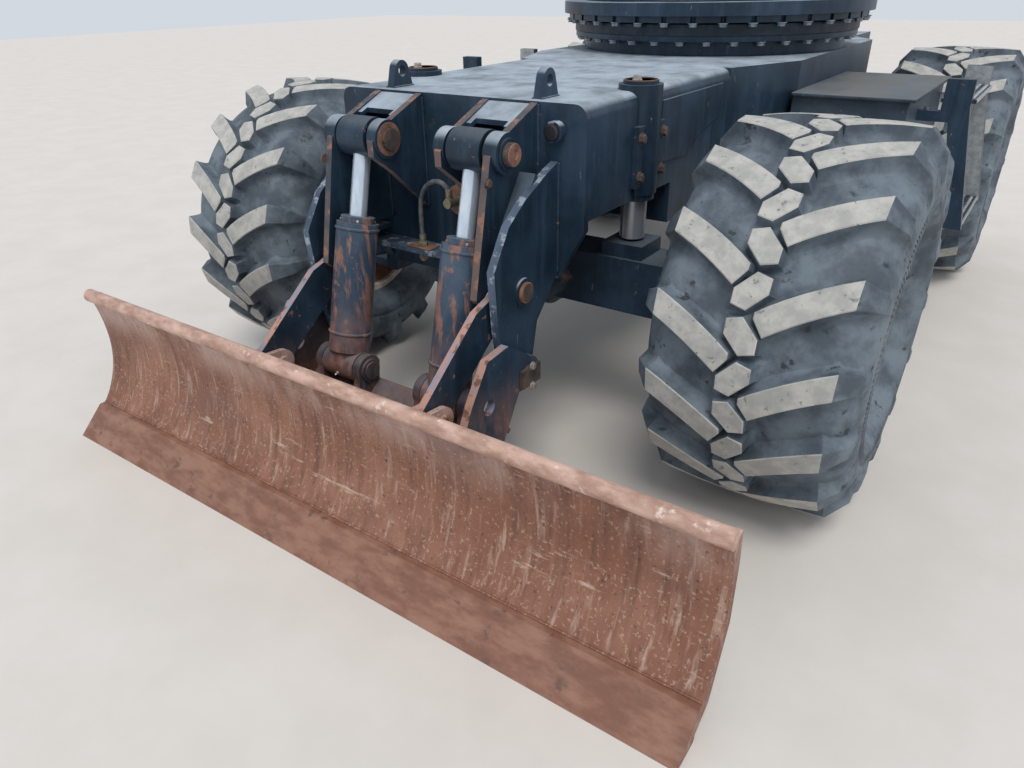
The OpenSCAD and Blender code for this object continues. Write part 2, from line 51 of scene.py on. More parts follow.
# From the front axle: the front plate's face, and the pins of the blade's linkage as (y, z).
FRONT_PLATE_Y = -0.383
TOP_PIN = (-0.560, 1.105)
BASE_PIN = (-0.745, 0.390)
LINK_PIN = (-0.577, 0.720)
ARM_PIN = (-0.600, 0.465)
LINK_END = (-0.942, 0.450)
ARM_END = (-0.965, 0.195)
CYLINDER_X = 0.220
ROD_EYE_R = 0.0625
BLADE_HALF = 1.24
# The bar on the blade's upper edge starts here,
BLADE_BAR_Z = 0.50
# and here the cutting edge ends on the blade's face.
BLADE_SEAM_Y, BLADE_SEAM_Z = -2.0948, 0.0985
LOCK_X = 0.450
LIFTING_LUG_X, LIFTING_LUG_Y = 0.290, -0.300
RING_SCREWS = 36
SIDES = [("left", 1), ("right", -1)]
WHEELS = [("front_left", 1, FRONT_AXLE_Y), ("front_right", -1, FRONT_AXLE_Y),
          ("rear_left", 1, REAR_AXLE_Y), ("rear_right", -1, REAR_AXLE_Y)]


def local(x, y, z):
    """A place given from the front axle, in metres."""
    return Vector((x, y + FRONT_AXLE_Y, z))


# Camera, at the photograph's place
def add_camera():
    place = Vector((1.5569, -3.2404, 1.5240))
    yaw, pitch, roll = math.radians(35.68), math.radians(28.45), -0.0203
    look = Vector((-math.sin(yaw) * math.cos(pitch), math.cos(yaw) * math.cos(pitch), -math.sin(pitch)))
    right = look.cross(Vector((0, 0, 1))).normalized()
    up = right.cross(look)
    right, up = (math.cos(roll) * right + math.sin(roll) * up, -math.sin(roll) * right + math.cos(roll) * up)
    data = bpy.data.cameras.new("camera")
    data.lens = 26.16
    data.sensor_width = 36
    data.clip_end = 200
    camera = bpy.data.objects.new("camera", data)
    turn = Matrix((right, up, -look)).transposed().to_4x4()
    camera.matrix_world = Matrix.Translation(place) @ turn
    bpy.context.scene.collection.objects.link(camera)
    bpy.context.scene.camera = camera


# Materials
def rgb(r, g, b):
    """A colour as an eye sees it, 0 to 255, in Blender's linear values."""
    def linear(c):
        c /= 255
        return c / 12.92 if c <= 0.04045 else ((c + 0.055) / 1.055) ** 2.4
    return (linear(r), linear(g), linear(b), 1)


class Finish:
    """A procedural material: masks from noise, colours mixed by them, roughness and bump."""

    def __init__(self, name, metallic=0.0):
        self.material = bpy.data.materials.new(name)
        self.material.use_nodes = True
        self.tree = self.material.node_tree
        self.shader = self.tree.nodes["Principled BSDF"]
        self.shader.inputs["Metallic"].default_value = metallic
        self.place = self.tree.nodes.new("ShaderNodeTexCoord").outputs["Object"]
        self.geometry = self.tree.nodes.new("ShaderNodeNewGeometry")
        self.height = None

    def link(self, value, socket):
        if isinstance(value, bpy.types.NodeSocket):
            self.tree.links.new(value, socket)
        else:
            socket.default_value = value

    def noise(self, scale, low=0.0, high=1.0, stretch=(1, 1, 1), detail=6, shift=0.0):
        """Noise of so many features a metre, 0 under low and 1 over high."""
        mapping = self.tree.nodes.new("ShaderNodeMapping")
        mapping.inputs["Scale"].default_value = stretch
        mapping.inputs["Location"].default_value = (shift, shift * 0.7, shift * 1.3)
        self.tree.links.new(self.place, mapping.inputs["Vector"])
        node = self.tree.nodes.new("ShaderNodeTexNoise")
        node.inputs["Scale"].default_value = scale
        node.inputs["Detail"].default_value = detail
        node.inputs["Roughness"].default_value = 0.62
        self.tree.links.new(mapping.outputs["Vector"], node.inputs["Vector"])
        return self.step(node.outputs["Fac"], low, high)

    def step(self, value, low, high):
        node = self.tree.nodes.new("ShaderNodeMapRange")
        node.interpolation_type = "SMOOTHSTEP"
        self.link(value, node.inputs["Value"])
        node.inputs["From Min"].default_value = low
        node.inputs["From Max"].default_value = high
        return node.outputs["Result"]

    def math(self, operation, a, b):
        node = self.tree.nodes.new("ShaderNodeMath")
        node.operation = operation
        node.use_clamp = True
        self.link(a, node.inputs[0])
        self.link(b, node.inputs[1])
        return node.outputs[0]

    def axis(self, name):
        """X, Y or Z of the place on the piece, in metres."""
        node = self.tree.nodes.new("ShaderNodeSeparateXYZ")
        self.tree.links.new(self.place, node.inputs[0])
        return node.outputs[name]

    def up(self, low, high):
        """0 to 1 as faces look up more, between two heights of their normal."""
        node = self.tree.nodes.new("ShaderNodeSeparateXYZ")
        self.tree.links.new(self.geometry.outputs["Normal"], node.inputs[0])
        return self.step(node.outputs["Z"], low, high)

    def mix(self, mask, a, b):
        node = self.tree.nodes.new("ShaderNodeMix")
        node.data_type = "RGBA"
        self.link(mask, node.inputs["Factor"])
        self.link(a, node.inputs["A"])
        self.link(b, node.inputs["B"])
        return node.outputs["Result"]

    def bump(self, height, distance, strength=0.6):
        node = self.tree.nodes.new("ShaderNodeBump")
        node.inputs["Strength"].default_value = strength
        node.inputs["Distance"].default_value = distance
        self.link(height, node.inputs["Height"])
        if self.height is not None:
            self.tree.links.new(self.height, node.inputs["Normal"])
        self.height = node.outputs["Normal"]

    def rough(self, mask, low, high):
        node = self.tree.nodes.new("ShaderNodeMapRange")
        self.link(mask, node.inputs["Value"])
        node.inputs["To Min"].default_value = low
        node.inputs["To Max"].default_value = high
        self.tree.links.new(node.outputs["Result"], self.shader.inputs["Roughness"])

    def done(self, colour):
        self.link(colour, self.shader.inputs["Base Color"])
        if self.height is not None:
            self.tree.links.new(self.height, self.shader.inputs["Normal"])
        return self.material


RUST = rgb(112, 76, 60)
PALE_RUST = rgb(176, 130, 112)


def paint_finish(name, dark, light, top=rgb(146, 160, 174), dust_and_sheen=0.8, rust_share=0.68, rust_below=None,
                 spread=(5, 0.15, 0.60), runs=0.0):
    """Blue black paint: mottled, streaked downwards, scratched, paled on faces that look up by dusty grime and a
    painted sheen of the sky, with some rust coming through.

    top and the strength after it give the colour and the strength of the pale coat on faces that look up, partly
    dusty grime and partly a painted sheen of the sky, and spread is its noise;
    runs adds rust that has run down, and rust_below the heights between which rust takes over.
    """
    f = Finish(name)
    f.shader.inputs["Specular IOR Level"].default_value = 0.3
    colour = f.mix(f.noise(3.5, 0.35, 0.70), dark, light)
    streaks = f.noise(9, 0.45, 0.75, stretch=(2.5, 2.5, 0.25))
    colour = f.mix(f.math("MULTIPLY", streaks, 0.35), colour, rgb(72, 92, 114))
    scratches = f.noise(42, 0.66, 0.72, stretch=(1, 1, 0.3), shift=8.0, detail=8)
    colour = f.mix(f.math("MULTIPLY", scratches, 0.5), colour, rgb(130, 138, 146))
    spots = f.noise(26, rust_share, rust_share + 0.06, detail=8)
    patches = f.noise(5, rust_share - 0.02, rust_share + 0.12, shift=4.0, detail=10)
    rust = f.math("MAXIMUM", f.math("MULTIPLY", spots, 0.8), patches)
    if runs:
        flow = f.noise(15, 0.50, 0.62, stretch=(2.2, 2.2, 0.22), shift=17.0, detail=8)
        rust = f.math("MAXIMUM", rust, f.math("MULTIPLY", flow, runs))
    if rust_below is not None:
        low, high = rust_below
        depth = f.step(f.axis("Z"), high, low)
        worn = f.noise(14, 0.30, 0.62, stretch=(1.6, 1.6, 0.5), shift=9.0)
        rust = f.math("MAXIMUM", rust, f.math("MULTIPLY", depth, worn))
    colour = f.mix(rust, colour, f.mix(f.noise(30), RUST, PALE_RUST))
    # Faces that look up are paled: partly dusty grime, partly a painted sheen where the sky catches the semi-gloss
    # paint.
    dust_and_sheen_mask = f.math("MULTIPLY", f.up(0.45, 0.9), f.noise(*spread, stretch=(1, 0.35, 1), shift=2.0))
    dust_and_sheen_colour = f.mix(f.noise(7, 0.3, 0.8, shift=5), top, rgb(112, 120, 128))
    colour = f.mix(f.math("MULTIPLY", dust_and_sheen_mask, dust_and_sheen), colour, dust_and_sheen_colour)
    f.bump(f.noise(60, detail=4), 0.0005)
    f.bump(rust, 0.0012, 0.5)
    f.rough(f.math("MAXIMUM", rust, dust_and_sheen_mask), 0.40, 0.80)
    return f.done(colour)


def edge_finish(name, a, b, c):
    """Bare edges of the plates: rubbed to rust and old paint."""
    f = Finish(name)
    colour = f.mix(f.noise(5, 0.40, 0.60), a, b)
    colour = f.mix(f.noise(24, 0.54, 0.62, shift=3), colour, c)
    f.bump(f.noise(90), 0.0008)
    f.rough(f.noise(12), 0.5, 0.8)
    return f.done(colour)


def blade_finish():
    """Rusted blade: brown with dark streaks down it, pale scrapes and pits."""
    f = Finish("blade_rust")
    colour = f.mix(f.noise(2.2, 0.36, 0.66), rgb(128, 84, 66), rgb(156, 112, 92))
    runs = f.noise(11, 0.46, 0.74, stretch=(3.4, 1, 0.22), shift=5, detail=8)
    colour = f.mix(f.math("MULTIPLY", runs, 0.85), colour, rgb(100, 66, 52))
    pale = f.noise(16, 0.52, 0.72, stretch=(3.0, 1, 0.30), shift=15, detail=8)
    colour = f.mix(f.math("MULTIPLY", pale, 0.65), colour, rgb(194, 166, 150))
    near_top = f.step(f.axis("Z"), 0.34, 0.50)
    rubbed = f.math("MULTIPLY", near_top, f.noise(4, 0.34, 0.62, stretch=(1, 1, 0.5), shift=21))
    colour = f.mix(f.math("MULTIPLY", rubbed, 0.8), colour, rgb(206, 178, 168))
    stains = f.noise(3.0, 0.50, 0.66, shift=31, detail=10)
    colour = f.mix(f.math("MULTIPLY", stains, 0.45), colour, rgb(112, 82, 70))
    scrapes = f.noise(9, 0.62, 0.72, stretch=(0.5, 2, 3.5), detail=10, shift=7)
    colour = f.mix(f.math("MULTIPLY", scrapes, 0.75), colour, rgb(204, 182, 164))
    orange = f.noise(5, 0.60, 0.78, shift=12, detail=10)
    colour = f.mix(f.math("MULTIPLY", orange, 0.5), colour, rgb(166, 106, 74))
    pits = f.noise(70, 0.62, 0.70, detail=3, shift=1)
    colour = f.mix(f.math("MULTIPLY", pits, 0.75), colour, rgb(76, 54, 48))
    speckle = f.noise(90, 0.58, 0.66, detail=3, shift=41)
    colour = f.mix(f.math("MULTIPLY", speckle, 0.45), colour, rgb(198, 172, 152))
    scuff = f.noise(2.6, 0.66, 0.72, shift=52, detail=10)
    colour = f.mix(f.math("MULTIPLY", scuff, 0.6), colour, rgb(150, 148, 156))
    f.bump(f.noise(4, detail=3), 0.006, 0.5)
    f.bump(f.noise(110), 0.0008)
    f.rough(f.noise(6), 0.48, 0.72)
    return f.done(colour)


def plain_finish(name, a, b, scale=20, metallic=0.0, rough=(0.4, 0.6), bump=0.0004, stretch=(1, 1, 1), spots=None):
    """Two tones mixed by noise, with spots of a third."""
    f = Finish(name, metallic)
    colour = f.mix(f.noise(scale, 0.35, 0.65, stretch=stretch), a, b)
    if spots:
        colour = f.mix(f.noise(scale * 2.3, 0.60, 0.68, shift=6, detail=8), colour, spots)
    f.bump(f.noise(scale * 5, stretch=stretch), bump)
    f.rough(f.noise(scale * 0.6, shift=2), *rough)
    return f.done(colour)


def make_materials():
    dark, light = rgb(28, 45, 60), rgb(50, 70, 90)
    return {
        "paint": paint_finish("dark_paint", dark, light),
        # Upper faces of the frame and the blade's bracket: a paler, broader coat on faces that look up, partly
        # dusty grime and partly painted sheen.
        "paint_top": paint_finish("dust_and_sheen_paint", dark, light, rgb(176, 188, 200), 0.95,
                                  spread=(2.2, 0.05, 0.50)),
        "paint_low": paint_finish("dark_paint_low", dark, light, rgb(96, 100, 104), 0.5, 0.64),
        "paint_worn": paint_finish("dark_paint_worn", dark, light, rgb(120, 104, 96), 0.6, 0.62, (0.22, 0.56)),
        "barrel": paint_finish("barrel_paint", rgb(48, 64, 82), rgb(82, 98, 116), rgb(120, 130, 140), 0.5, 0.60,
                               (0.36, 0.66), runs=0.85),
        "box": paint_finish("box_paint", rgb(48, 60, 72), rgb(78, 90, 102), rgb(116, 114, 108), 0.9, 0.66),
        "edge": edge_finish("plate_edge", rgb(182, 138, 122), rgb(130, 134, 152), rgb(118, 84, 70)),
        "edge_dark": edge_finish("ear_edge", rgb(104, 88, 84), rgb(62, 70, 80), rgb(142, 104, 88)),
        "edge_blue": edge_finish("side_plate_edge", rgb(84, 100, 120), rgb(58, 72, 90), rgb(150, 158, 170)),
        "blade": blade_finish(),
        "lip": plain_finish("blade_lip_rust", rgb(212, 178, 162), rgb(168, 132, 116), 10, 0, (0.45, 0.7), 0.001,
                            (1, 2, 2), rgb(226, 206, 194)),
        "cutting": plain_finish("cutting_edge_rust", rgb(124, 84, 68), rgb(150, 112, 94), 9, 0, (0.45, 0.7),
                                0.001, (1, 2, 3), rgb(108, 80, 70)),
        "steel": plain_finish("greasy_steel", rgb(82, 78, 78), rgb(118, 98, 88), 26, 0.4, (0.4, 0.65), 0.0006,
                              spots=rgb(74, 52, 44)),
        "bright": plain_finish("bright_steel", rgb(196, 190, 184), rgb(160, 150, 142), 40, 0.6, (0.25, 0.45)),
        "bolt": plain_finish("ring_bolts", rgb(150, 158, 166), rgb(110, 118, 126), 60, 0.4, (0.3, 0.5)),
        "chrome": plain_finish("chrome", rgb(226, 236, 246), rgb(204, 218, 232), 14, 0.55, (0.12, 0.24), 0.00003,
                               (3, 3, 0.3)),
        "brushed": plain_finish("brushed_rod", rgb(186, 192, 200), rgb(156, 162, 172), 10, 0.7, (0.26, 0.38),
                                0.00005, (6, 6, 0.3)),
        "galvanised": plain_finish("galvanised", rgb(176, 180, 182), rgb(146, 152, 156), 40, 0.35, (0.35, 0.5)),
        "dark_steel": plain_finish("dark_steel", rgb(20, 32, 46), rgb(40, 52, 66), 20, 0.2, (0.40, 0.6)),
        "rust": plain_finish("rust", rgb(104, 76, 64), rgb(140, 104, 88), 22, 0, (0.6, 0.85), 0.001,
                             spots=rgb(80, 52, 40)),
        "orange": plain_finish("orange_rust", rgb(150, 106, 74), rgb(122, 86, 64), 30, 0, (0.6, 0.85), 0.001,
                               spots=rgb(190, 148, 110)),
        "pin": plain_finish("pin_end", rgb(158, 116, 98), rgb(120, 90, 80), 30, 0.2, (0.4, 0.65), 0.0006,
                            spots=rgb(104, 74, 62)),
        "rim": plain_finish("rim_rust", rgb(142, 100, 76), rgb(176, 132, 108), 14, 0, (0.5, 0.75), 0.0008,
                            spots=rgb(112, 78, 60)),
        "rim_lip": plain_finish("rim_lip", rgb(216, 206, 196), rgb(170, 150, 136), 16, 0, (0.45, 0.65), 0.0006),
        "hub": plain_finish("hub_grey", rgb(190, 200, 208), rgb(160, 170, 178), 24, 0.0, (0.4, 0.6), 0.0005,
                            spots=rgb(130, 128, 124)),
        "rubber": plain_finish("tyre_rubber", rgb(72, 82, 92), rgb(112, 124, 134), 9, 0, (0.55, 0.8), 0.0010,
                               spots=rgb(52, 56, 60)),
        "tread": plain_finish("tread_dust", rgb(190, 188, 182), rgb(166, 166, 162), 22, 0, (0.8, 0.95), 0.001,
                              spots=rgb(128, 128, 126)),
        "hose": plain_finish("hose_rubber", rgb(70, 76, 84), rgb(104, 106, 108), 40, 0, (0.55, 0.8), 0.0005),
        "zinc": plain_finish("zinc_fitting", rgb(158, 152, 130), rgb(124, 118, 104), 60, 0.4, (0.4, 0.6),
                             spots=rgb(110, 76, 54)),
        "black": plain_finish("black_cap", rgb(24, 26, 30), rgb(36, 38, 42), 40),
    }


# Shapes
def facing(place, axis=(0, 0, 1), turn=0.0):
    """Matrix that stands a shape's Z along axis at place, turned about it by so many degrees."""
    rotation = Vector(axis).to_track_quat("Z", "Y").to_matrix().to_4x4()
    return Matrix.Translation(place) @ rotation @ Matrix.Rotation(math.radians(turn), 4, "Z")


class Shape:
    """Collects rings, tubes, blocks and bolts into one mesh, each with a material."""

    def __init__(self, *materials):
        self.materials = materials
        self.points, self.faces, self.indices = [], [], []
        self.at = Matrix.Identity(4)
        self.mat = 0

    def add(self, points, faces, materials=None):
        base = len(self.points)
        self.points += [self.at @ Vector(p) for p in points]
        self.faces += [[base + i for i in f] for f in faces]
        self.indices += materials or [self.mat] * len(faces)
        return self

    def rings(self, rings, caps=True):
        """Skins a stack of closed rings that have as many points each."""
        n = len(rings[0])
        points = [p for ring in rings for p in ring]
        faces = []
        for k in range(len(rings) - 1):
            for i in range(n):
                j = (i + 1) % n
                faces.append([k * n + i, k * n + j, (k + 1) * n + j, (k + 1) * n + i])
        if caps:
            faces.append(list(range(n - 1, -1, -1)))
            faces.append([(len(rings) - 1) * n + i for i in range(n)])
        return self.add(points, faces)

    def lathe(self, profile, segments, caps=True):
        """Turns (radius, height) points about Z."""
        angles = [2 * math.pi * i / segments for i in range(segments)]
        return self.rings([[(r * math.cos(a), r * math.sin(a), z) for a in angles] for r, z in profile], caps=caps)

    def tube(self, path, radius, segments, wobble=0.0, seed=0):
        """A round tube along points; wobble makes a rough weld bead of it."""
        pts = [Vector(p) for p in path]
        chance = random.Random(seed)
        side = None
        rings = []
        for i, p in enumerate(pts):
            along = (pts[min(i + 1, len(pts) - 1)] - pts[max(i - 1, 0)]).normalized()
            if side is None:
                side = along.orthogonal().normalized()
            side = (side - along * side.dot(along)).normalized()
            other = along.cross(side)
            r = radius * (1 + wobble * (chance.random() - 0.5))
            rings.append([p + r * (math.cos(a) * side + math.sin(a) * other)
                          for a in (2 * math.pi * k / segments for k in range(segments))])
        return self.rings(rings)

    def block(self, low, high, edge=0.0):
        """A box; edge is the chamfer all round it."""
        (x0, y0, z0), (x1, y1, z1) = low, high
        if not edge:
            p = [(x, y, z) for z in (z0, z1) for x, y in ((x0, y0), (x1, y0), (x1, y1), (x0, y1))]
            faces = [[3, 2, 1, 0], [4, 5, 6, 7], [0, 1, 5, 4], [1, 2, 6, 5], [2, 3, 7, 6], [3, 0, 4, 7]]
            return self.add(p, faces)

        def outline(inset, z):
            xa, xb, ya, yb = x0 + inset, x1 - inset, y0 + inset, y1 - inset
            return [(xa + edge, ya, z), (xb - edge, ya, z), (xb, ya + edge, z), (xb, yb - edge, z),
                    (xb - edge, yb, z), (xa + edge, yb, z), (xa, yb - edge, z), (xa, ya + edge, z)]

        return self.rings([outline(edge, z0), outline(0, z0 + edge), outline(0, z1 - edge), outline(edge, z1)])

    def bolt(self, place, axis, size, turn):
        """A hexagon head on its washer; size is the width over the corners."""
        keep = self.at
        self.at = keep @ facing(place, axis, turn)
        r, low = size / 2, size * 0.12
        self.lathe([(r * 1.25, 0), (r * 1.25, low * 0.8), (r * 1.18, low)], 20)
        height = low + size * 0.36
        self.rings([[(k * r * math.cos(a), k * r * math.sin(a), z) for a in (math.pi * i / 3 for i in range(6))]
                    for k, z in ((1, low), (1, height - r * 0.12), (0.88, height))])
        self.at = keep

    def object(self, name, body, slot, replaces=(), smooth=True, angle=35):
        """Makes the piece, which rides on a body; slot is not used."""
        mesh = bpy.data.meshes.new(name)
        mesh.from_pydata([tuple(p) for p in self.points], [], self.faces)
        for m in self.materials:
            mesh.materials.append(m)
        mesh.polygons.foreach_set("material_index", self.indices)
        mesh.update()
        obj = bpy.data.objects.new(name, mesh)
        bpy.context.scene.collection.objects.link(obj)
        if smooth:
            smooth_by_angle(mesh, angle)
        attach(obj, body)
        if replaces:
            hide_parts(*replaces)
        return obj


def smooth_by_angle(mesh, degrees):
    """Smooth shading, with the edges sharper than this kept sharp."""
    mesh.polygons.foreach_set("use_smooth", [True] * len(mesh.polygons))
    mesh.set_sharp_from_angle(angle=math.radians(degrees))


def add_bevel(obj, width):
    bevel = obj.modifiers.new("bevel", "BEVEL")
    bevel.width = width
    bevel.segments = 2
    bevel.limit_method = "ANGLE"
    bevel.angle_limit = math.radians(38)
    bevel.use_clamp_overlap = True
    bevel.harden_normals = False


# Tyres: bars in a V with a chain of six-sided blocks along the middle
TYRE_R = 0.590
LUGS = 16
# Across the tread from its middle, in metres along the surface: (along, x, radius) of the lugs' tops
LUG_TOP = [(0, 0, 0.590), (0.08, 0.08, 0.5887), (0.16, 0.16, 0.5849), (0.243, 0.243, 0.5782),
           (0.324, 0.2935, 0.515), (0.379, 0.300, 0.460), (0.424, 0.2985, 0.415)]
# and of the rubber between them.
LUG_FOOT = [(0, 0, 0.546), (0.10, 0.10, 0.544), (0.18, 0.178, 0.538), (0.243, 0.232, 0.525),
            (0.324, 0.281, 0.487), (0.379, 0.2955, 0.448), (0.424, 0.2985, 0.414)]
# Corners of a middle block, from its own centre: across the tread, and round it.
BLOCK = [(0.003, -0.050), (0.044, -0.039), (0.044, 0.001), (-0.003, 0.050), (-0.044, 0.039), (-0.044, -0.001)]
# Inner end, bend and outer end of a bar, from the centre of the block that it points at.
BAR = [(0.036, -0.037), (0.131, -0.108), (0.243, -0.157)]
BAR_HALF = 0.034
BAR_END = [(0.021, -0.050), (0.021, -0.067)]
BAR_FOOT = (0.052, -0.007)
# Rings of a lug from its top down: (share of the depth, outward).
LUG_RINGS = [(0.0, -0.0028), (0.055, 0.0), (0.5, 0.0035), (0.82, 0.008), (0.95, 0.014), (1.04, 0.024)]


def along_curve(knots, at):
    """(x, radius) at a distance across the tread."""
    for (a, xa, ra), (b, xb, rb) in zip(knots, knots[1:]):
        if at <= b:
            t = (at - a) / (b - a)
            return xa + (xb - xa) * t, ra + (rb - ra) * t
    return knots[-1][1:]


def tread_point(side, across, around, depth):
    """A point of the tread: across from the middle, around the tyre, and down from the lug's top."""
    sign = side * (1 if across >= 0 else -1)
    x0, r0 = along_curve(LUG_TOP, abs(across))
    x1, r1 = along_curve(LUG_FOOT, abs(across))
    x, r = x0 + (x1 - x0) * depth, r0 + (r1 - r0) * depth
    angle = around / TYRE_R
    return (sign * x, -r * math.sin(angle), r * math.cos(angle))


def offset_outline(points, distance):
    """A closed outline moved outward, corner by corner."""
    n = len(points)
    area = sum(points[i][0] * points[(i + 1) % n][1] - points[(i + 1) % n][0] * points[i][1] for i in range(n))
    turn = 1 if area > 0 else -1
    result = []
    for i in range(n):
        p, a, b = Vector(points[i]), Vector(points[i - 1]), Vector(points[(i + 1) % n])
        u, v = (p - a).normalized(), (b - p).normalized()
        nu, nv = Vector((u.y, -u.x)) * turn, Vector((v.y, -v.x)) * turn
        bend = 1 + nu.dot(nv)
        result.append(tuple(p + (nu + nv) * (distance / max(bend, 0.35))))
    return result


def bar_sides():
    """Both long sides of a bar, from its inner end over the shoulder and down the sidewall."""
    p0, p1, p2 = (Vector(p) for p in BAR)

    def side_at(t, sign):
        p = p0 * (1 - t) ** 2 + p1 * 2 * t * (1 - t) + p2 * t * t
        d = ((p1 - p0) * (1 - t) + (p2 - p1) * t).normalized()
        return p + Vector((d.y, -d.x)) * (sign * BAR_HALF)

    sides = []
    for sign, start in ((1, BAR_END[1]), (-1, BAR_FOOT)):
        low, high = 0.5, 1.5
        for _ in range(30):
            middle = (low + high) / 2
            low, high = (middle, high) if side_at(middle, sign).x < BAR[2][0] else (low, middle)
        steps = [low * k / 6 for k in range(1, 7)]
        sides.append([tuple(start)] + [tuple(side_at(t, sign)) for t in steps])
    upper, lower = sides
    upper = [BAR_END[0]] + upper
    lower = [lower[0], tuple((Vector(lower[0]) * 2 + Vector(lower[1])) / 3)] + lower[1:]
    for across, narrow in ((0.285, 0.005), (0.324, 0.010), (0.379, 0.019), (0.424, 0.028)):
        upper.append((across, upper[7][1] + narrow))
        lower.append((across, lower[7][1] - narrow))
    return upper, lower


def add_lug(shape, side, centre, upper, lower, mirror=1):
    """One lug between its two sides, which have as many points each."""
    n = len(upper)
    outline = list(upper) + list(reversed(lower))
    rings = []
    for depth, out in LUG_RINGS:
        ring = offset_outline(outline, out)
        rings.append([tread_point(side, mirror * a, centre + b, depth) for a, b in ring])
    points = [p for ring in rings for p in ring]
    m = len(outline)
    faces, mats = [], []
    for i in range(n - 1):
        faces.append([i, i + 1, m - 2 - i, m - 1 - i])
        mats.append(1 if upper[i + 1][0] <= BAR[2][0] + 0.001 else 0)
    for k in range(len(rings) - 1):
        for i in range(m):
            j = (i + 1) % m
            faces.append([k * m + i, (k + 1) * m + i, (k + 1) * m + j, k * m + j])
            worn = k == 0 and max(outline[i][0], outline[j][0]) <= BAR[2][0] + 0.001
            mats.append(1 if worn else 0)
    if side * mirror > 0:
        faces = [list(reversed(f)) for f in faces]
    shape.add(points, faces, mats)


def tyre_shape(materials, side):
    """A tyre about X at the origin. side is +1 where the outer side looks to +X."""
    shape = Shape(materials["rubber"], materials["tread"])
    carcass = [(0.0, 0.5445), (0.06, 0.5440), (0.12, 0.5420), (0.17, 0.5385), (0.21, 0.5320), (0.243, 0.5200),
               (0.268, 0.5010), (0.284, 0.4780), (0.2935, 0.4500), (0.2975, 0.4250), (0.2975, 0.4020),
               (0.2945, 0.3960), (0.2945, 0.3900), (0.2985, 0.3860), (0.2990, 0.3620), (0.2955, 0.3540),
               (0.2860, 0.3470), (0.2840, 0.3440), (0.2790, 0.3400), (0.2770, 0.3360), (0.2710, 0.3320),
               (0.2680, 0.3280), (0.2620, 0.3240), (0.2560, 0.3200), (0.2480, 0.3120), (0.2400, 0.3030),
               (0.2330, 0.3000), (0.2130, 0.3000), (0.2130, 0.2900)]
    profile = [(-x, r) for x, r in reversed(carcass)] + carcass[1:]
    count = 192
    rings = [[(side * x, -r * math.sin(a), r * math.cos(a)) for x, r in profile]
             for a in (2 * math.pi * i / count for i in range(count))]
    n = len(profile)
    points = [p for ring in rings for p in ring]
    faces = []
    for k in range(count):
        j = (k + 1) % count
        for i in range(n - 1):
            face = [k * n + i, k * n + i + 1, j * n + i + 1, j * n + i]
            faces.append(face if side < 0 else face[::-1])
    shape.add(points, faces)
    # fine ribs round the rim guard
    ribs = 150
    for sign in (1, -1):
        for k in range(ribs):
            a0, a1 = (2 * math.pi * (k + t) / ribs for t in (0.0, 0.5))
            strip = []
            for r, x in ((0.4000, 0.2965), (0.3940, 0.2985), (0.3640, 0.3000), (0.3580, 0.2975)):
                strip.append([(side * sign * x, -r * math.sin(a), r * math.cos(a)) for a in (a0, a1)])
            pts = [p for pair in strip for p in pair]
            quads = [[0, 1, 3, 2], [2, 3, 5, 4], [4, 5, 7, 6]]
            shape.add(pts, quads if side * sign < 0 else [q[::-1] for q in quads])
    # bars and middle blocks; the bars of one side stand half a pitch on
    upper, lower = bar_sides()
    phase = math.radians(30.75) * TYRE_R
    pitch = 2 * math.pi / LUGS * TYRE_R
    for k in range(LUGS):
        for mirror, shift in ((1, 0.0), (-1, 0.5)):
            centre = phase + (k + shift) * pitch
            add_lug(shape, side, centre, upper, lower, mirror)
            corners = BLOCK if mirror < 0 else [(-a, b) for a, b in BLOCK]
            add_lug(shape, side, centre, [corners[i] for i in (5, 0, 1)], [corners[i] for i in (4, 3, 2)])
    return shape


def add_tyres(materials):
    for name, side, y in WHEELS:
        shape = tyre_shape(materials, side)
        shape.points = [p + Vector((side * WHEEL_X, y, AXLE_Z)) for p in shape.points]
        shape.object("tyre_" + name + "_tread", "wheel_" + name, "tyre_rubber", ["tyre_" + name], angle=32)


# CAD nodes: their own meshes, with rounded edges and better materials
def dress(node, finish, width, *parts):
    """Gives a node its material and rounded edges, and other materials to the faces that a test picks."""
    obj = NODES[node]
    mesh = obj.data
    mesh.materials.clear()
    for material in (finish, *(other for other, _ in parts)):
        mesh.materials.append(material)
    chosen = [next((k + 1 for k, (_, test) in enumerate(parts) if test(mesh, p)), 0) for p in mesh.polygons]
    mesh.polygons.foreach_set("material_index", chosen)
    weld = obj.modifiers.new("weld", "WELD")
    weld.merge_threshold = 0.00002
    add_bevel(obj, width)
    normals = obj.modifiers.new("normals", "WEIGHTED_NORMAL")
    normals.keep_sharp = False
    normals.weight = 80


def in_any(value, ranges, slack=0.0005):
    return any(low - slack <= value <= high + slack for low, high in ranges)


def plate_rim(planes):
    """Picks the narrow faces of plates that stand across X between two planes, but not those that look back."""
    def test(mesh, p):
        return (abs(p.normal.x) < 0.5 and p.normal.y < 0.4
                and all(in_any(abs(mesh.vertices[v].co.x), planes) for v in p.vertices))
    return test


